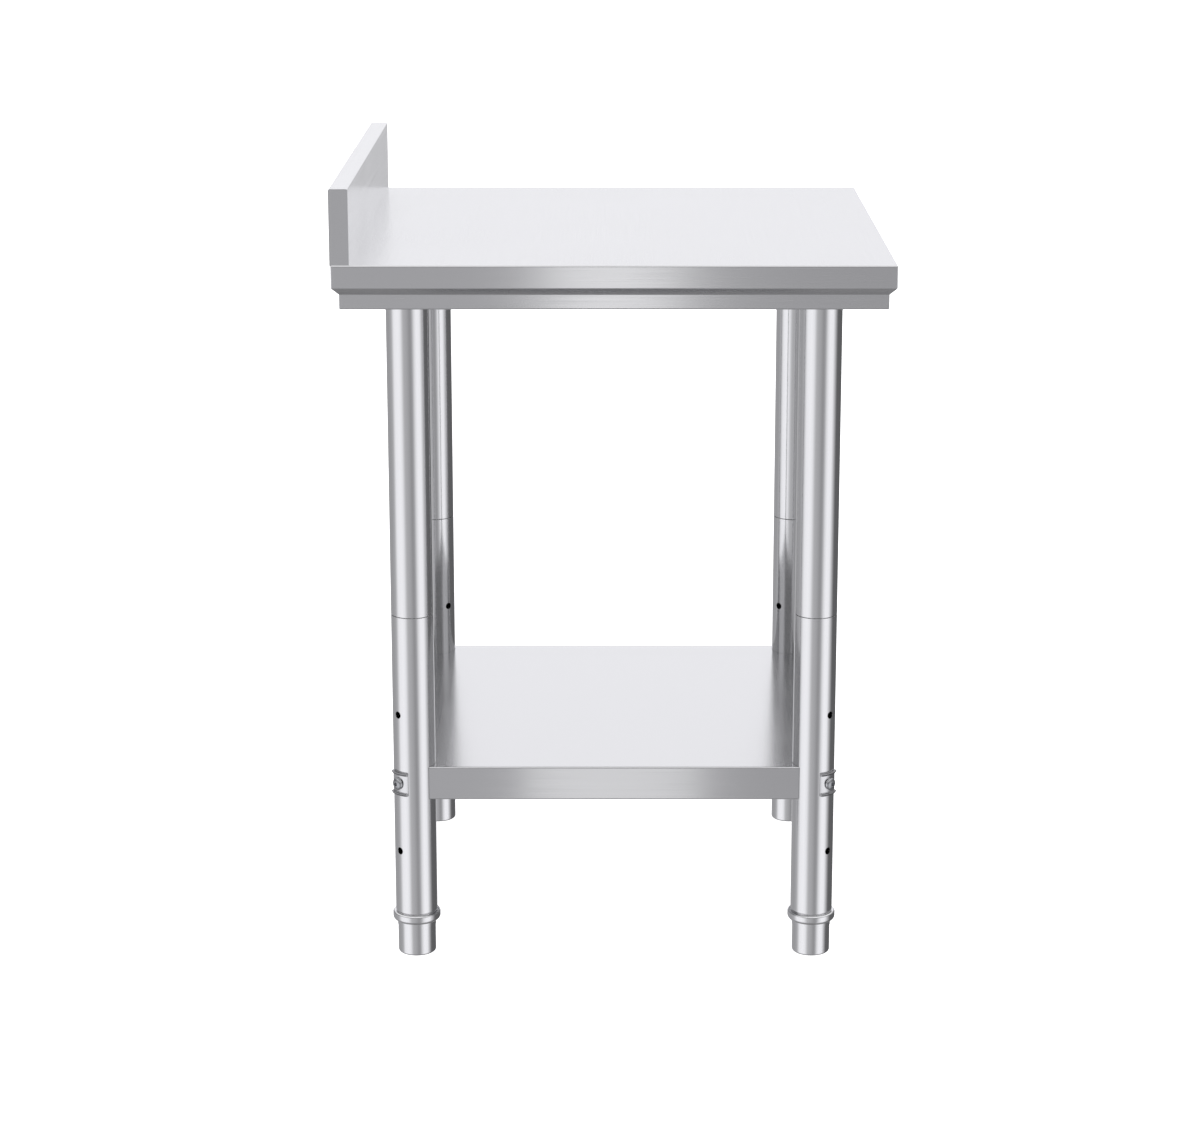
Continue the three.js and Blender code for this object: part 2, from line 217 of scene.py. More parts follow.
tube_polish = polished_stainless("polished_tube", 900.0, 0.13)
lathe_polish = polished_stainless("turned_foot", 1600.0, 0.13)

# %% [markdown]
# Hidden stiffeners and leg sockets are galvanised. Zinc freezes into large flat crystals, the spangle,
# each with its own shade and gloss. Voronoi cells are the natural match.

# %% Galvanised steel
SPANGLES = 130.0  # crystals per metre


def galvanised_steel():
    material, tree, shader, coordinates = start_metal("galvanised_steel")
    cells = add_node(tree, "ShaderNodeTexVoronoi", {"Vector": coordinates, "Scale": SPANGLES})
    shade = add_node(tree, "ShaderNodeSeparateColor", {"Color": cells.outputs["Color"]}).outputs["Red"]
    dust = stretched_noise(tree, coordinates, (60.0, 60.0, 60.0), 5.0)
    colour = grey_between(tree, shade, (0.42, 0.45, 0.47), (0.60, 0.63, 0.65))
    gloss = combine(tree, "ADD", ramp(tree, shade, 0.34, 0.5), ramp(tree, dust, 0.0, 0.08))
    wire_metal(tree, shader, colour, gloss, dust, 0.08, 0.0003)
    return material


galvanised = galvanised_steel()

# %% [markdown]
# Bolts, nuts and studs are zinc plated: greyer and softer than the tube, with rubbed bright edges.
# The pressed washers are bright zinc, which was brushed before plating and comes close to the tube.

# %% Zinc plate
def zinc_plate(name, dark, light, roughness):
    material, tree, shader, coordinates = start_metal(name)
    mottle = stretched_noise(tree, coordinates, (220.0, 220.0, 220.0), 4.0)
    edges = worn_edges(tree, 0.51, 0.58)
    rubbed = add_node(tree, "ShaderNodeMix", {"Factor": edges}, data_type="RGBA")
    tree.links.new(grey_between(tree, mottle, dark, light), rubbed.inputs[COLOUR_A])
    rubbed.inputs[COLOUR_B].default_value = (0.78, 0.78, 0.79, 1)
    gloss = ramp(tree, mottle, roughness, roughness + 0.12)
    wire_metal(tree, shader, rubbed.outputs[MIXED_COLOUR], gloss, mottle, 0.06)
    return material


zinc = zinc_plate("zinc_plate", (0.36, 0.37, 0.39), (0.50, 0.51, 0.52), 0.22)
bright_zinc = zinc_plate("bright_zinc", (0.70, 0.70, 0.715), (0.77, 0.77, 0.78), 0.14)
# The darker copy is for the washer's lips: its dark colour is painted shade, standing in for the dark lines
# there.
lip_painted_shade_zinc = zinc_plate("lip_painted_shade_zinc", (0.20, 0.20, 0.21), (0.28, 0.28, 0.29), 0.26)
finishes = (satin_along_x, satin_along_y, tube_polish, lathe_polish,
            galvanised, zinc, bright_zinc, lip_painted_shade_zinc)
print("materials", sorted(material.name for material in finishes))

# %% [markdown]
# Every piece is finished the same way. Faces are smooth except across sharp edges, and weighted normals
# keep the big flats truly flat right up to the bend, which matters on metal because it shows every dent.

# %% Finish a mesh
SHARP = math.radians(38)
BODY_OF = {node: body for body, nodes in frame["record"]["behaviour"]["bodies"].items() for node in nodes}


def finish_piece(bm, node, materials, place=Matrix.Identity(4), name=None):
    """Turns a bmesh into the piece that stands for a CAD node, and lets it ride on that node's body."""
    bmesh.ops.remove_doubles(bm, verts=bm.verts, dist=1e-6)
    bmesh.ops.recalc_face_normals(bm, faces=bm.faces)
    for face in bm.faces:
        face.smooth = True
    for edge in bm.edges:
        edge.smooth = edge.is_manifold and edge.calc_face_angle(0) < SHARP
    mesh = bpy.data.meshes.new(node)
    bm.to_mesh(mesh)
    bm.free()
    piece = bpy.data.objects.new(name or f"{node}_finished", mesh)
    piece.matrix_world = place
    bpy.context.scene.collection.objects.link(piece)
    for material in materials:
        mesh.materials.append(material)
    weighted = piece.modifiers.new("flat faces stay flat", "WEIGHTED_NORMAL")
    weighted.keep_sharp = True
    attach(piece, BODY_OF[node])
    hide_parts(node)
    return piece


def cut_away(bm, cutters):
    """Cuts closed bmeshes away from a bmesh with the exact boolean, and returns the result."""
    scene = bpy.context.scene
    body = bpy.data.objects.new("body", bpy.data.meshes.new("body"))
    bm.to_mesh(body.data)
    bm.free()
    scene.collection.objects.link(body)
    tools = []
    for cutter in cutters:
        tool = bpy.data.objects.new("tool", bpy.data.meshes.new("tool"))
        cutter.to_mesh(tool.data)
        cutter.free()
        scene.collection.objects.link(tool)
        modifier = body.modifiers.new("cut", "BOOLEAN")
        modifier.operation, modifier.solver, modifier.object = "DIFFERENCE", "EXACT", tool
        tools.append(tool)
    evaluated = body.evaluated_get(bpy.context.evaluated_depsgraph_get())
    result = bmesh.new()
    result.from_mesh(evaluated.to_mesh())
    evaluated.to_mesh_clear()
    for leftover in (body, *tools):
        bpy.data.objects.remove(leftover, do_unlink=True)
    return result

# %% [markdown]
# Pressed and folded sheet is drawn as a section: a closed list of points with an arc at each bend.
# A helper rounds the corners of a plain outline, so each section is written with its corner points only.

# %% Rounded outlines
MOST_OF_A_SIDE = 0.49  # a corner's arc takes at most this share of the sides beside it


def rounded(outline, radii, steps=5):
    """Rounds each corner of a closed outline. radii is one number, or one for each corner."""
    count = len(outline)
    radii = radii if isinstance(radii, (list, tuple)) else [radii] * count
    result = []
    for i, corner in enumerate(outline):
        here, radius = Vector(corner), radii[i]
        before, after = Vector(outline[i - 1]) - here, Vector(outline[(i + 1) % count]) - here
        if radius <= 0 or before.length < 1e-9 or after.length < 1e-9:
            result.append(tuple(here))
            continue
        turn = before.angle(after)
        longest = MOST_OF_A_SIDE * min(before.length, after.length)
        reach = min(radius / math.tan(turn / 2), longest)
        radius = reach * math.tan(turn / 2)
        middle = (before.normalized() + after.normalized()).normalized()
        centre = here + middle * (radius / math.sin(turn / 2))
        first = here + before.normalized() * reach - centre
        last = here + after.normalized() * reach - centre
        sweep = first.angle_signed(last)
        # Equal angles along the arc, from one tangent point to the other.
        for k in range(steps + 1):
            angle = sweep * k / steps
            spun = Vector((first.x * math.cos(angle) + first.y * math.sin(angle),
                           first.y * math.cos(angle) - first.x * math.sin(angle)))
            result.append(tuple(centre + spun))
    return result


CUT_EDGE = 0.4  # the easing of a sheet's cut edge, as a share of its thickness


def sheet_section(path, thickness, bend):
    """The closed section of a sheet of even thickness along a path of corner points on its outer side.

    The inner side is offset to the path's right."""
    count = len(path)
    points = [Vector(p) for p in path]
    inner = []
    for i, point in enumerate(points):
        directions = []
        if i > 0:
            directions.append((point - points[i - 1]).normalized())
        if i < count - 1:
            directions.append((points[i + 1] - point).normalized())
        normals = [Vector((d.y, -d.x)) for d in directions]
        middle = sum(normals, Vector((0, 0))).normalized()
        inner.append(point + middle * (thickness / middle.dot(normals[0])))
    # Bends turn about one centre, so the inside radius is smaller by the thickness where the fold closes.
    outer_radii, inner_radii = [], []
    for i in range(count):
        if i in (0, count - 1):
            outer_radii.append(thickness * CUT_EDGE)
            inner_radii.append(thickness * CUT_EDGE)
            continue
        a, b = points[i] - points[i - 1], points[i + 1] - points[i]
        convex = a.x * b.y - a.y * b.x < 0  # the path turns towards its inner side
        outer_radii.append(bend + thickness if convex else bend)
        inner_radii.append(bend if convex else bend + thickness)
    return rounded([tuple(p) for p in points] + [tuple(p) for p in reversed(inner)],
                   outer_radii + list(reversed(inner_radii)))

# %% [markdown]
# Three ways of making a solid from a section cover the whole table: turning it about an axis, running it
# straight, and running it round a square with mitred corners. Each gives quads that follow the metal.

# %% Section to solid
def bridge(bm, rings, closed_across, closed_along):
    """Joins rows of vertices with quads. Rows join end to end, and each row to itself, if asked."""
    rows = len(rings) if closed_across else len(rings) - 1
    for r in range(rows):
        a, b = rings[r], rings[(r + 1) % len(rings)]
        columns = len(a) if closed_along else len(a) - 1
        for c in range(columns):
            d = (c + 1) % len(a)
            corners = []
            for vertex in (a[c], a[d], b[d], b[c]):
                if vertex not in corners:
                    corners.append(vertex)
            if len(corners) > 2:
                bm.faces.new(corners)


def turned(profile, steps=96):
    """A profile of (radius, height) turned about Z.

    A closed profile stays off the axis, and any other starts and ends on it."""
    bm = bmesh.new()
    on_axis = profile[0][0] < 1e-9 and profile[-1][0] < 1e-9
    rings = []
    for radius, height in profile:
        if radius < 1e-9:
            rings.append([bm.verts.new((0, 0, height))] * steps)
            continue
        ring = []
        for k in range(steps):
            angle = 2 * math.pi * k / steps
            ring.append(bm.verts.new((radius * math.cos(angle), radius * math.sin(angle), height)))
        rings.append(ring)
    bridge(bm, rings, not on_axis, True)
    return bm


END_SHARE = 0.2  # the share of a sector, at either end, over which what is proud sinks
SUNK = 0.85  # and how much of it has sunk at the very end


def sector(profile, plate, half_angle, steps=40):
    """A closed profile of (radius, height) turned through a part of a circle round +X.

    What stands beyond the plate's radius sinks towards it at either end."""
    bm = bmesh.new()
    rings = []
    for k in range(steps + 1):
        along = 2 * k / steps - 1
        angle = half_angle * along
        full = 1 - SUNK * max(0, (abs(along) - (1 - END_SHARE)) / END_SHARE) ** 2
        ring = [(plate + (r - plate) * full if r > plate else r, z) for r, z in profile]
        rings.append([bm.verts.new((r * math.cos(angle), r * math.sin(angle), z)) for r, z in ring])
    bridge(bm, rings, False, True)
    bm.faces.new(rings[0])
    bm.faces.new(rings[-1])
    return bm


def straight(section, start, end):
    """A closed section of (y, z) run along X, with flat ends."""
    bm = bmesh.new()
    rings = [[bm.verts.new((x, y, z)) for y, z in section] for x in (start, end)]
    bridge(bm, rings, False, True)
    bm.faces.new(rings[0])
    bm.faces.new(rings[1])
    return bm


def square_ring(bm, half_x, half_y, corner, height, steps=6):
    """A ring of vertices round a rectangle with rounded corners."""
    corner = min(corner, half_x, half_y)
    ring = []
    for sx, sy, quarter in ((1, 1, 0), (-1, 1, 1), (-1, -1, 2), (1, -1, 3)):
        for k in range(steps + 1):
            angle = math.pi / 2 * (quarter + k / steps)
            x = sx * (half_x - corner) + corner * math.cos(angle)
            y = sy * (half_y - corner) + corner * math.sin(angle)
            ring.append(bm.verts.new((x, y, height)))
    return ring


def folded_tray(section, half_x, half_y, corner, inner_corner=0.0003):
    """A section of (inset from the side, height) run round a square.

    It starts and ends on the flat middle, whose two faces then close the tray."""
    bm = bmesh.new()
    rings = []
    for inset, height in section:
        radius = max(corner - inset, inner_corner)
        rings.append(square_ring(bm, half_x - inset, half_y - inset, radius, height))
    bridge(bm, rings, False, True)
    bm.faces.new(rings[0])
    bm.faces.new(rings[-1])
    return bm


SIDE_FACE = 0.6  # a face whose normal is at least this much along X belongs to a side fold


def grain_by_side(bm, side_grain):
    """Gives the faces that look along X the second material, whose grain runs the other way."""
    for face in bm.faces:
        face.material_index = side_grain if abs(face.normal.x) > SIDE_FACE else 0

# %% [markdown]
# The worktop is one sheet folded on all four sides: down, in at 45 degrees, down again, and back in a
# hem. The corners are welded and ground, so they are nearly sharp. A bend in 1 mm sheet has about 1 mm
# inside radius. At the rear the same sheet turns up into the backsplash, so a strip of the flat is cut
# away under it. The bends at the two ends and at the rear run on, and show as a bright line at the foot
# of the end plates.

# %% Worktop
SHEET = 0.001
BEND = 0.0008
FASCIA = 0.025
EDGE_STEP = 0.008
HEM = 0.012
WELDED_CORNER = 0.0012
SPLASH_RISE = 0.082
ONTO_FLAT = 0.05  # how far in from the edge a tray's section stops on the flat
STRIP_INSET = 0.004  # the strip under the backsplash ends this far before the sheet's rear
STRIP_BELOW, STRIP_ABOVE = 0.002, 0.01

sheet_low, sheet_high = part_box("worktop_sheet")
cap_low, cap_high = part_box("backsplash_end_cap_left")
TOP = sheet_high.z - SPLASH_RISE
top_half = (sheet_high.x - sheet_low.x) / 2
tray_middle = sheet_low.y + top_half
print("worktop", round(2 * top_half, 4), "m square, working height", round(TOP, 4))


def start_on_flat(section, flat_height, thickness):
    """Turns a closed section so that it starts and ends on the two sides of the flat middle."""
    deepest = max(x for x, _ in section)
    middle = [i for i, (x, _) in enumerate(section) if x > deepest - 2 * thickness]
    # The rounded end of the section is dropped, because the flat goes on to the centre of the tray.
    first = next(i for i in middle if (i + 1) % len(section) not in middle)
    turned_round = [(first + 1 + k) % len(section) for k in range(len(section))]
    ordered = [section[i] for i in turned_round if i not in middle]
    top_first = abs(ordered[0][1] - flat_height) < abs(ordered[-1][1] - flat_height)
    return ordered if top_first else list(reversed(ordered))


# The path runs along the outer side from the hem to the flat, so the sheet's thickness lies on its right.
edge_path = [
    (EDGE_STEP + HEM, sheet_low.z), (EDGE_STEP, sheet_low.z), (EDGE_STEP, TOP - FASCIA - EDGE_STEP),
    (0.0, TOP - FASCIA), (0.0, TOP), (ONTO_FLAT, TOP),
]
tray_section = start_on_flat(sheet_section(edge_path, SHEET, BEND), TOP, SHEET)
worktop_mesh = folded_tray(tray_section, top_half, top_half, WELDED_CORNER)
bmesh.ops.translate(worktop_mesh, vec=(0, tray_middle, 0), verts=worktop_mesh.verts)
bmesh.ops.recalc_face_normals(worktop_mesh, faces=worktop_mesh.faces)
cap_face = abs(cap_low.x)
strip_rear = sheet_high.y - STRIP_INSET
strip = straight([(cap_low.y, TOP - STRIP_BELOW), (strip_rear, TOP - STRIP_BELOW),
                  (strip_rear, TOP + STRIP_ABOVE), (cap_low.y, TOP + STRIP_ABOVE)], -cap_face, cap_face)
bmesh.ops.recalc_face_normals(strip, faces=strip.faces)
worktop_mesh = cut_away(worktop_mesh, [strip])
grain_by_side(worktop_mesh, 1)
worktop = finish_piece(worktop_mesh, "worktop_sheet", [satin_along_x, satin_along_y])

# %% [markdown]
# The backsplash is the rest of that sheet: up from the flat with a tight bend, back, and down behind.
# It is drawn as its own piece, because its section runs straight while the tray's runs round a square.
# Its ends are closed with plates, welded on and ground flush.

# %% Backsplash
WELD_GAP = 0.0003
SPLASH_TOE = 0.0005  # what the backsplash's section keeps of the flat in front of it
WELD_EASE = 0.00048

splash_length = abs(cap_high.x) - WELD_GAP
splash_path = [
    (cap_low.y - SPLASH_TOE, TOP), (cap_low.y, TOP), (cap_low.y, sheet_high.z),
    (cap_high.y, sheet_high.z), (cap_high.y, TOP),
]
splash_mesh = straight(sheet_section(splash_path, SHEET, BEND), splash_length, -splash_length)
finish_piece(splash_mesh, "worktop_sheet", [satin_along_x], name="backsplash_folded")


def bevel_sharp_edges(bm, offset, segments):
    sharp = [edge for edge in bm.edges if edge.calc_face_angle(0) > SHARP]
    bmesh.ops.bevel(bm, geom=sharp, offset=offset, segments=segments, affect="EDGES")


for side in ("left", "right"):
    node = f"backsplash_end_cap_{side}"
    low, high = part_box(node)
    corners = [(low.y, low.z), (high.y, low.z), (high.y, high.z), (low.y, high.z)]
    cap = straight(rounded(corners, [0, 0, BEND + SHEET, BEND + SHEET]), low.x, high.x)
    bevel_sharp_edges(cap, WELD_EASE, 3)
    finish_piece(cap, node, [satin_along_y])
print("backsplash", round(sheet_high.z - TOP, 4), "m high,", round(cap_high.y - cap_low.y, 4), "m thick")

# %% [markdown]
# Four folded channels stiffen the sheets from below: three under the worktop and one under the shelf.
# They could be drawn from a section too, but they are seen only from below, so they keep their CAD shape,
# and a small bevel takes the razor edge off the sheet.

# %% Stiffeners
def ease_edges(node, material, width):
    """Keeps a node's CAD shape, gives it its finish and eases its sharp edges."""
    piece = frame["nodes"][node]
    piece.data.materials.clear()
    piece.data.materials.append(material)
    softened = piece.modifiers.new("eased edge", "BEVEL")
    softened.width, softened.segments, softened.limit_method = width, 2, "ANGLE"


FOLDED_EDGE = 0.0003
for node in ("worktop_stiffener_left", "worktop_stiffener_middle", "worktop_stiffener_right",
             "shelf_stiffener"):
    ease_edges(node, galvanised, FOLDED_EDGE)
    print(node, "finished")

# %% [markdown]
# The lower shelf is the same kind of tray with a plain fold, and its corners are bitten out where the
# legs stand. The bites could be drawn in the outline, but cutting them from the finished tray also cuts
# the folded sides.

# %% Shelf
shelf_low, shelf_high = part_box("shelf_sheet")
shelf_half = (shelf_high.x - shelf_low.x) / 2
shelf_middle = (shelf_low + shelf_high) / 2
leg_low, leg_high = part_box("lower_leg_front_left")
LEG_RADIUS = (leg_high.x - leg_low.x) / 2
LEG_AXIS = abs((leg_low.x + leg_high.x) / 2)
SEAT_GAP = 0.0003
SHELF_CORNER = 0.001
BITE_PAST = 0.01  # the cutter for a bite runs this far past the shelf, above and below

shelf_path = [
    (HEM, shelf_low.z), (0.0, shelf_low.z), (0.0, shelf_high.z), (ONTO_FLAT, shelf_high.z),
]
shelf_section = start_on_flat(sheet_section(shelf_path, SHEET, BEND), shelf_high.z, SHEET)
shelf_mesh = folded_tray(shelf_section, shelf_half, shelf_half, SHELF_CORNER)
bite_radius = LEG_RADIUS + SEAT_GAP
bite_low, bite_high = shelf_low.z - BITE_PAST, shelf_high.z + BITE_PAST
bites = []
for sx, sy in ((1, 1), (-1, 1), (-1, -1), (1, -1)):
    bite = turned([(0, bite_low), (bite_radius, bite_low), (bite_radius, bite_high), (0, bite_high)], 96)
    bmesh.ops.recalc_face_normals(bite, faces=bite.faces)
    bmesh.ops.translate(bite, vec=(sx * LEG_AXIS, sy * LEG_AXIS, 0), verts=bite.verts)
    bites.append(bite)
bmesh.ops.recalc_face_normals(shelf_mesh, faces=shelf_mesh.faces)
shelf_mesh = cut_away(shelf_mesh, bites)
grain_by_side(shelf_mesh, 1)
shelf = finish_piece(shelf_mesh, "shelf_sheet", [satin_along_x, satin_along_y],
                     Matrix.Translation((shelf_middle.x, shelf_middle.y, 0)))
print("shelf", round(2 * shelf_half, 4), "m square, top at", round(shelf_high.z, 4))

# %% [markdown]
# Every leg is the same set of pieces. Each is made with +X pointing out to the table's corner, where the
# bolt's head is, and then turned and moved to its place. First come the sizes that all four legs share.

# %% Leg sizes
CORNERS = {"front_left": (-1, -1), "front_right": (1, -1), "rear_left": (-1, 1), "rear_right": (1, 1)}
WALL = 0.001
HOLE_RADIUS = 0.0042
HOLE_PITCH = 0.0815


def leg_place(corner):
    """Where a piece of this leg stands: on the leg's axis, turned out to the corner."""
    low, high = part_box(f"lower_leg_{corner}")
    sx, sy = CORNERS[corner]
    middle = (low + high) / 2
    return Matrix.Translation((middle.x, middle.y, 0)) @ Matrix.Rotation(math.atan2(sy, sx), 4, "Z")


def heights(node):
    low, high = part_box(node)
    return low.z, high.z


def half_width(node):
    low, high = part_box(node)
    return (high.x - low.x) / 2


def tube_profile(outer, wall, low, high, low_ease, high_ease):
    """A tube's wall, with its outer edge eased more at one end than at the other."""
    corners = [(outer, low), (outer, high), (outer - wall, high), (outer - wall, low)]
    return rounded(corners, [low_ease, high_ease, 0.0001, 0.0001], 4)


def rod_along_x(radius, start, end, height, steps=32):
    bm = turned([(0, start), (radius, start), (radius, end), (0, end)], steps)
    bmesh.ops.rotate(bm, matrix=Matrix.Rotation(math.pi / 2, 3, "Y"), verts=bm.verts)
    bmesh.ops.translate(bm, vec=(0, 0, height), verts=bm.verts)
    bmesh.ops.recalc_face_normals(bm, faces=bm.faces)
    return bm


bolt_low, bolt_high = heights("shelf_bolt_front_left")
BOLT_HEIGHT = (bolt_low + bolt_high) / 2
print("leg radius", round(LEG_RADIUS, 4), "bolt height", round(BOLT_HEIGHT, 4))

# %% [markdown]
# The legs are thin tube in two lengths. The lower end of each is rolled in a little, so that it closes on
# the piece below without a burr, and that rounded edge mirrors the dark floor as a fine line. The holes
# go right through, along the diagonal, so they are cut as real holes and show the dark inside.

# %% Leg tubes
ROLLED_END = 0.0009
SAWN_END = 0.0002
SEAM = 0.0003
DRILL_PAST = 0.002
DRILL_TURN = math.radians(3)
ON_OUTER_WALL, NEARLY_RADIAL = 0.985, 0.995


def round_normals(piece, outer):
    """Points the outer wall's normals straight out, so that the holes don't ripple the reflections."""
    mesh = piece.data
    normals = [tuple(n.vector) for n in mesh.corner_normals]
    for face in mesh.polygons:
        radial = Vector((face.center.x, face.center.y, 0))
        outside = radial.length > outer * ON_OUTER_WALL
        if outside and abs(face.normal.dot(radial.normalized())) > NEARLY_RADIAL:
            for loop in face.loop_indices:
                point = mesh.vertices[mesh.loops[loop].vertex_index].co
                normals[loop] = tuple(Vector((point.x, point.y, 0)).normalized())
    mesh.normals_split_custom_set(normals)


def leg_drill(height):
    """A drill right through the leg, turned so that none of its corners falls on a seam of the tube."""
    drill = rod_along_x(HOLE_RADIUS, -LEG_RADIUS - DRILL_PAST, LEG_RADIUS + DRILL_PAST, height)
    spin = Matrix.Rotation(DRILL_TURN, 3, "X")
    bmesh.ops.rotate(drill, cent=(0, 0, height), matrix=spin, verts=drill.verts)
    return drill


def make_tube(kind, corner, holes):
    node = f"{kind}_{corner}"
    low, high = heights(node)
    if holes:
        high -= SEAM
    mesh = turned(tube_profile(LEG_RADIUS, WALL, low, high, ROLLED_END, SAWN_END), 128)
    bmesh.ops.recalc_face_normals(mesh, faces=mesh.faces)
    if holes:
        mesh = cut_away(mesh, [leg_drill(BOLT_HEIGHT + step * HOLE_PITCH) for step in (-1, 0, 1)])
    piece = finish_piece(mesh, node, [tube_polish], leg_place(corner))
    if holes:
        piece.modifiers.clear()
        round_normals(piece, LEG_RADIUS)


for corner in CORNERS:
    make_tube("upper_leg", corner, False)
    make_tube("lower_leg", corner, True)
print("tubes made")

# %% [markdown]
# The foot is a pressed collar and a turned barrel that telescopes into it on a stud. The collar widens in
# a round belly to its band. Above the band there is a narrow neck, set back under the tube's end, which
# reads as a dark line. All three are lathe shapes, so each is one profile turned about the leg's axis.

# %% Feet
PLAY = 0.0002  # between collar and barrel, and between collar and tube
CLEARANCE = 0.0003  # between a screw and what it passes through or clamps
NECK_SET_BACK, NECK_HEIGHT = 0.0008, 0.0014
BELLY_RISE = 0.006  # from the collar's lower edge to where its belly starts
FOOT_NUT = 0.016
BASE_RADIUS = 0.017
CUP_WALL, CUP_FLOOR = 0.0015, 0.006
BOSS_WALL, BOSS_HEIGHT = 0.004, 0.008


def thread(radius, start, pitch, depth, turns):
    """The outline of a screw thread, as a row of ridges with flat crests."""
    outline = []
    for k in range(turns):
        foot = start + k * pitch
        outline += [(radius - depth, foot), (radius, foot + 0.4 * pitch), (radius, foot + 0.6 * pitch)]
    return outline


def make_collar(corner, barrel, stud):
    node = f"foot_collar_{corner}"
    low, high = heights(node)
    bulge = half_width(node)
    rim = heights(f"lower_leg_{corner}")[0] - SEAT_GAP
    bore, guide, outside = stud + CLEARANCE, barrel + PLAY, LEG_RADIUS - WALL - PLAY
    neck, shoulder, band_high = LEG_RADIUS - NECK_SET_BACK, low + BELLY_RISE, rim - NECK_HEIGHT
    nut_low = high - FOOT_NUT
    belly = bulge - guide - 0.0005
    swell = [(bulge - belly * (1 - math.sin(a)), shoulder + belly * (1 - math.cos(a)))
             for a in (math.radians(6 * k) for k in range(16))]
    collar = rounded([
        (bore, nut_low), (guide, nut_low), (guide, low), (guide + PLAY, low), *swell,
        (bulge, band_high), (neck, band_high), (neck, rim), (outside, rim), (outside, high), (bore, high),
    ], [0.0003, 0, 0, 0, *[0] * len(swell), 0.0034, 0.0003, 0.0001, 0, 0.0008, 0.0006], 8)
    finish_piece(turned(collar, 128), node, [lathe_polish], leg_place(corner))


def make_barrel(corner, barrel, stud):
    node = f"foot_barrel_{corner}"
    top = heights(node)[1]
    bore, inside, boss = stud + CLEARANCE, barrel - CUP_WALL, stud + BOSS_WALL
    boss_top = CUP_FLOOR + BOSS_HEIGHT
    cup = rounded([
        (0, 0), (BASE_RADIUS, 0), (barrel, 0.0006), (barrel, top), (inside, top), (inside, CUP_FLOOR),
        (boss, CUP_FLOOR), (boss, boss_top), (bore, boss_top), (bore, CUP_FLOOR), (0, CUP_FLOOR),
    ], [0, 0.002, 0.0048, 0.0004, 0.0004, 0.0015, 0.001, 0.0008, 0.0004, 0, 0], 7)
    finish_piece(turned(cup, 128), node, [lathe_polish], leg_place(corner))


def make_stud(corner, stud):
    node = f"foot_stud_{corner}"
    low, high = heights(node)
    pitch, depth = 0.002, 0.0011
    turns = int((high - low - 0.004) / pitch)
    screw = [(0, low), (stud - 0.001, low), *thread(stud, low + 0.001, pitch, depth, turns),
             (stud - depth, high - 0.002), (stud - 0.002, high), (0, high)]
    finish_piece(turned(screw, 48), node, [zinc], leg_place(corner))


for corner in CORNERS:
    barrel_radius, stud_radius = half_width(f"foot_barrel_{corner}"), half_width(f"foot_stud_{corner}")
    make_collar(corner, barrel_radius, stud_radius)
    make_barrel(corner, barrel_radius, stud_radius)
    make_stud(corner, stud_radius)
print("feet made")

# %% [markdown]
# The shelf's bolt pulls a curved washer against the tube. Its two lips stiffen it and stand out above and
# below. Their faces lean to the floor, because they were folded a little past square, and their colour is
# darkened with painted shade for the dark lines along the washer's top and bottom. The washer is a section
# turned through part of a circle, and the bolt is a turned profile with a hexagon cut in.

# %% Shelf fastenings
SEAT = LEG_RADIUS + SEAT_GAP
PLATE = 0.0006
LIP, LIP_HEIGHT, LIP_LEAN = 0.0032, 0.0029, 0.0015
SADDLE_HALF = math.radians(30)
UNDER_HEAD = SEAT + PLATE + CLEARANCE
SHANK, HEAD, BOLT_REACH = 0.004, 0.007, 0.0605
HEX_KEY = 0.0027
NUT_BEHIND = 0.0015  # room behind the tube for the corner seat
NUT_RADIUS, NUT_THICK, NUT_BORE = 0.0075, 0.0065, 0.0043


def make_washer(corner):
    node = f"saddle_washer_{corner}"
    low, high = heights(node)
    face = SEAT + PLATE
    proud = face + LIP
    section = rounded([
        (SEAT, low), (proud - LIP_LEAN, low), (proud, low + LIP_HEIGHT), (face, low + LIP_HEIGHT),
        (face, high - LIP_HEIGHT), (proud - LIP_LEAN, high - LIP_HEIGHT), (proud, high), (SEAT, high),
    ], [0.0003, 0.0004, 0.0004, 0.0006, 0.0006, 0.0004, 0.0004, 0.0003], 4)
    washer = sector(section, face, SADDLE_HALF)
    bmesh.ops.recalc_face_normals(washer, faces=washer.faces)
    washer = cut_away(washer, [rod_along_x(HOLE_RADIUS, SEAT - 0.003, SEAT + 0.006, BOLT_HEIGHT)])
    # The lips take the second material, whose dark colour is painted shade.
    for facet in washer.faces:
        on_lip = facet.calc_center_median().xy.length > face + 0.0002
        facet.material_index = 1 if on_lip else 0
    finish_piece(washer, node, [bright_zinc, lip_painted_shade_zinc], leg_place(corner))


def make_bolt(corner):
    tip, neck = SEAT - BOLT_REACH, SHANK - 0.0001
    pitch, depth, turns = 0.00125, 0.0007, 19
    profile = [(0, tip), (SHANK - 0.001, tip), *thread(SHANK, tip + 0.0006, pitch, depth, turns)]
    dome = [(HEAD * math.cos(a), UNDER_HEAD + 0.0014 + 0.003 * math.sin(a))
            for a in (math.radians(5 * k) for k in range(14))]
    profile += [(neck, profile[-1][1] + pitch), (neck, UNDER_HEAD), (HEAD, UNDER_HEAD)]
    profile += [*dome, (0, dome[-1][1])]
    bolt = turned(profile, 48)
    bmesh.ops.rotate(bolt, matrix=Matrix.Rotation(math.pi / 2, 3, "Y"), verts=bolt.verts)
    bmesh.ops.translate(bolt, vec=(0, 0, BOLT_HEIGHT), verts=bolt.verts)
    bmesh.ops.recalc_face_normals(bolt, faces=bolt.faces)
    bolt = cut_away(bolt, [rod_along_x(HEX_KEY, UNDER_HEAD + 0.0018, UNDER_HEAD + 0.01, BOLT_HEIGHT, 6)])
    finish_piece(bolt, f"shelf_bolt_{corner}", [zinc], leg_place(corner))


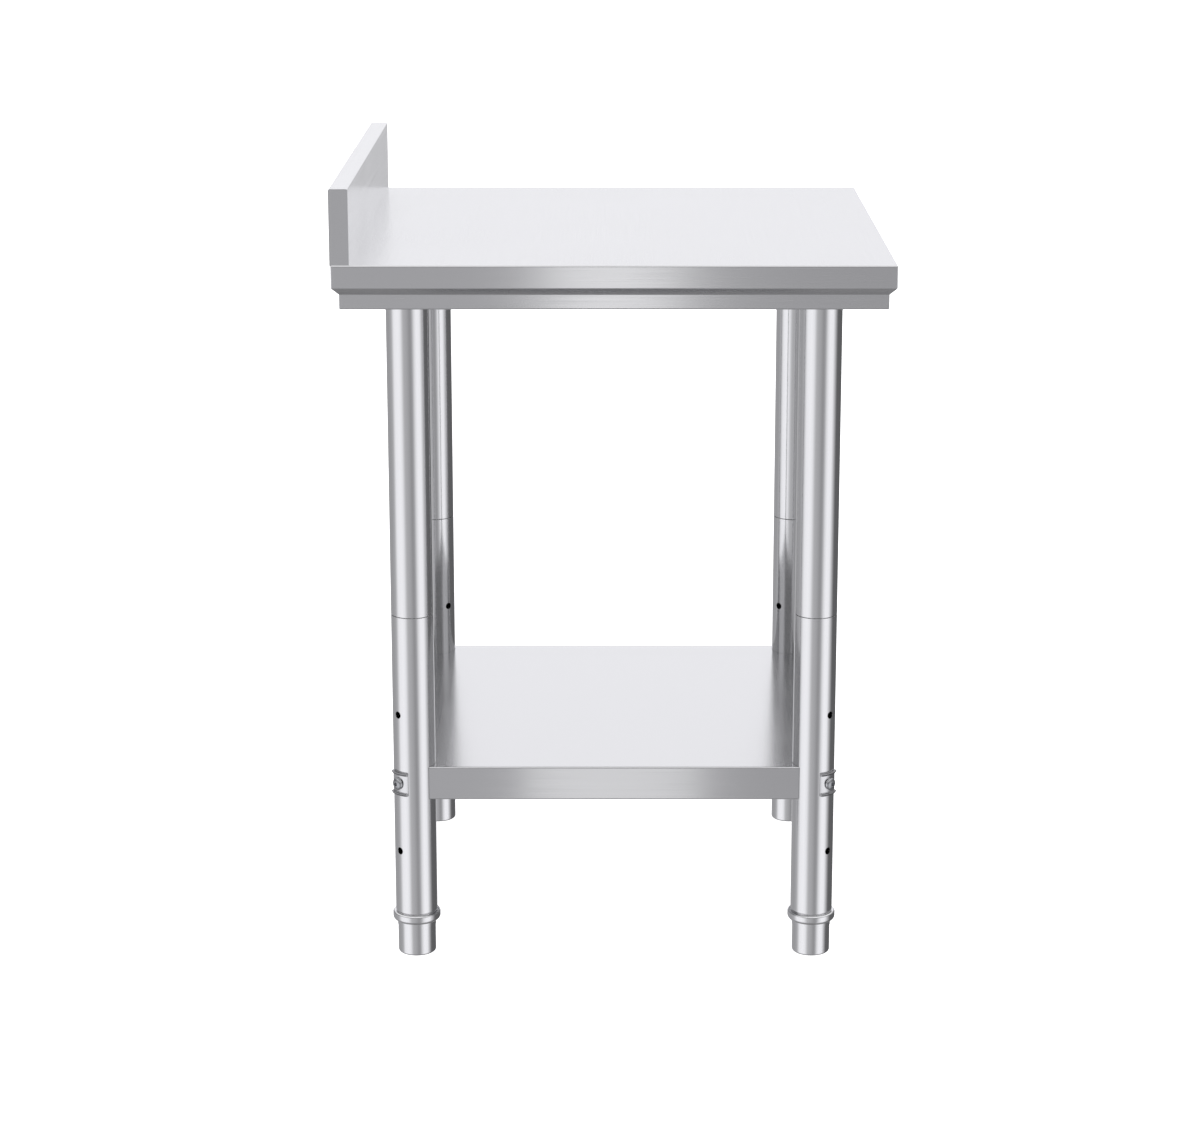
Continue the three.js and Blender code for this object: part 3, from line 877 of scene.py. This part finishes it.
def make_nut(corner):
    near = -SEAT - NUT_BEHIND
    far = near - NUT_THICK
    blank = rod_along_x(NUT_RADIUS, far, near, BOLT_HEIGHT, 6)
    bevel_sharp_edges(blank, 0.0004, 2)
    nut = cut_away(blank, [rod_along_x(NUT_BORE, far - 0.002, near + 0.002, BOLT_HEIGHT)])
    finish_piece(nut, f"shelf_nut_{corner}", [zinc], leg_place(corner))


for corner in CORNERS:
    make_washer(corner)
    make_bolt(corner)
    make_nut(corner)
print("fastenings made")

# %% [markdown]
# The pieces behind the edges are plain: sockets, their screws, the coupling sleeves and the shelf's
# corner seats. They keep their CAD shape and get their finish and a small bevel, because they are seen
# only from below, if at all.

# %% Hidden pieces
HIDDEN = (("leg_socket", galvanised, "galvanised"), ("socket_screw", zinc, "zinc"),
          ("leg_coupling", zinc, "zinc"), ("shelf_corner_seat", satin_along_x, "satin"))
SMALL_EDGE = 0.0002
for corner in CORNERS:
    for kind, material, finish in HIDDEN:
        ease_edges(f"{kind}_{corner}", material, SMALL_EDGE)
print("hidden pieces", len(HIDDEN) * len(CORNERS))

# %% [markdown]
# The floor is plain and pale, and it gives off light of its own so that it stays even out to the edges.
# Metal shows what stands round it, so the floor is kept out of the reflections, and it blocks none of the
# light.

# %% Floor
FLOOR_REACH = 14.0

floor_mesh = bmesh.new()
floor_mesh.faces.new([floor_mesh.verts.new((sx * FLOOR_REACH, sy * FLOOR_REACH, 0))
                      for sx, sy in ((-1, -1), (1, -1), (1, 1), (-1, 1))])
floor_data = bpy.data.meshes.new("floor")
floor_mesh.to_mesh(floor_data)
floor_mesh.free()
floor = bpy.data.objects.new("floor", floor_data)
bpy.context.scene.collection.objects.link(floor)
floor_material = bpy.data.materials.new("pale_floor")
floor_material.use_nodes = True
floor_shader = floor_material.node_tree.nodes["Principled BSDF"]
floor_shader.inputs["Base Color"].default_value = (0.9, 0.9, 0.9, 1)
floor_shader.inputs["Roughness"].default_value = 1.0
floor_shader.inputs["Emission Color"].default_value = (1, 1, 1, 1)
floor_shader.inputs["Emission Strength"].default_value = 1.0
floor_data.materials.append(floor_material)
floor.visible_glossy = False
floor.visible_shadow = False
print("floor", 2 * FLOOR_REACH, "m square")

# %% [markdown]
# What the metal mirrors is a studio, drawn in the world. Below the horizon, bright softboxes stand to
# both sides of the camera with grey between them, and a dark flag stands at the far right. Just above the
# horizon dark flags stand all round, but for the white behind the table and where the softboxes run on. A
# white cove closes the top, and the floor of the room is dark. Real lamps could do this too, but each
# would need its own stand and flags.

# %% Studio
STUDIO = [  # degrees round from the camera towards its right, and how bright the room is there
    (-180, 0.74), (-172, 0.60), (-162, 0.40), (-118, 0.38), (-94, 0.48), (-76, 1.00), (-52, 1.08),
    (-37, 0.98), (-21, 0.53), (0, 0.43), (14, 0.33), (24, 0.42), (36, 0.86), (49, 1.07), (68, 1.04),
    (86, 0.47), (100, 0.14), (152, 0.12), (168, 0.56), (180, 0.74),
]
WALLS = [  # the same for the band of flags just above the horizon
    (-180, 1.01), (-167, 1.01), (-150, 0.30), (-105, 0.26), (-86, 0.14), (-76, 0.46), (-50, 0.46),
    (-38, 0.13), (38, 0.13), (50, 0.46), (76, 0.46), (86, 0.14), (105, 0.26), (150, 0.30),
    (167, 1.01), (180, 1.01),
]
FLOOR_DARK, COVE = (0.25, 0.25, 0.255), (0.99, 0.99, 1.0)
# Heights in the world run from -1 straight down over 0 at the horizon to 1 straight up.
DARK_TO, STUDIO_FROM = -0.95, -0.55
STUDIO_TO, WALLS_FROM = -0.03, 0.09
WALLS_TO, COVE_FROM = 0.37, 0.55
COOL = 1.03  # the lamps' blue, as a share of their red and green
PAPER = 1.05

world = bpy.data.worlds.new("studio")
bpy.context.scene.world = world
world.use_nodes = True
sky = world.node_tree
sky.nodes.clear()
direction = add_node(sky, "ShaderNodeTexCoord").outputs["Generated"]
axes = add_node(sky, "ShaderNodeSeparateXYZ", {"Vector": direction})
towards = combine(sky, "MULTIPLY", axes.outputs["X"], -1.0)
sideways = combine(sky, "MULTIPLY", axes.outputs["Y"], -1.0)
around = combine(sky, "ARCTAN2", sideways, towards)
turn = add_node(sky, "ShaderNodeMapRange", {"Value": around, "From Min": -math.pi, "From Max": math.pi})


def ring_of_lights(stops):
    """A colour that changes with the direction round the table."""
    ring = add_node(sky, "ShaderNodeValToRGB", {"Fac": turn.outputs["Result"]})
    elements = ring.color_ramp.elements
    while len(elements) < len(stops):
        elements.new(0.5)
    # All places come before the first colour, because an element that moves can change its number.
    for element, (degrees, _) in zip(elements, stops):
        element.position = (degrees + 180) / 360
    for element, (_, bright) in zip(elements, stops):
        element.color = (bright, bright, bright * COOL, 1)
    return ring.outputs["Color"]


def layer(lower, upper, from_height, to_height):
    """Blends two colours, or the results of two nodes, between two heights."""
    rise = add_node(sky, "ShaderNodeMapRange", {"Value": axes.outputs["Z"], "From Min": from_height,
                                                "From Max": to_height})
    mix = add_node(sky, "ShaderNodeMix", {"Factor": rise.outputs["Result"]}, data_type="RGBA")
    for socket, colour in ((mix.inputs[COLOUR_A], lower), (mix.inputs[COLOUR_B], upper)):
        if isinstance(colour, tuple):
            socket.default_value = (*colour, 1)
        else:
            sky.links.new(colour, socket)
    return mix.outputs[MIXED_COLOUR]


low_room = layer(FLOOR_DARK, ring_of_lights(STUDIO), DARK_TO, STUDIO_FROM)
mid_room = layer(low_room, ring_of_lights(WALLS), STUDIO_TO, WALLS_FROM)
whole_room = layer(mid_room, COVE, WALLS_TO, COVE_FROM)
lit = add_node(sky, "ShaderNodeBackground", {"Color": whole_room})
paper = add_node(sky, "ShaderNodeBackground", {"Color": (1, 1, 1, 1), "Strength": PAPER})
seen = add_node(sky, "ShaderNodeLightPath").outputs["Is Camera Ray"]
choice = add_node(sky, "ShaderNodeMixShader", {0: seen, 1: lit.outputs[0], 2: paper.outputs[0]})
add_node(sky, "ShaderNodeOutputWorld", {"Surface": choice.outputs[0]})
bpy.context.scene.view_settings.view_transform = "Standard"
print("studio ring", len(STUDIO), "stops, ring of flags", len(WALLS), "stops")

# %% [markdown]
# Two small lights stand before the table's end, each below the level of its folded edge. The lower one is
# even under the floor, which blocks no light. In the satin sheet each makes a bright middle that fades
# towards both ends, which tells the eye that the metal is brushed and not painted. Light linking keeps
# each one on its own sheet, as flags would in a studio, so the legs stay clean.

# %% Edge lights
LIGHT_GAP = 0.6


def edge_light(name, sheet, height, size, radiance):
    """A flat lamp in front of the table's end that lights one sheet only."""
    data = bpy.data.lights.new(name, "AREA")
    data.shape, data.size, data.size_y = "RECTANGLE", size[0], size[1]
    data.energy = radiance * math.pi * size[0] * size[1]
    light = bpy.data.objects.new(name, data)
    light.location = (END_OF_TABLE - LIGHT_GAP, 0, height)
    light.rotation_euler = (math.pi / 2, 0, -math.pi / 2)
    light.visible_camera = False
    bpy.context.scene.collection.objects.link(light)
    only = bpy.data.collections.new(f"{name}_only")
    only.objects.link(sheet)
    light.light_linking.receiver_collection = only
    print(name, round(data.energy, 3), "W")


edge_light("worktop_edge_light", worktop, height=0.69, size=(0.17, 0.25), radiance=0.68)
edge_light("shelf_edge_light", shelf, height=-0.02, size=(0.24, 0.25), radiance=0.42)
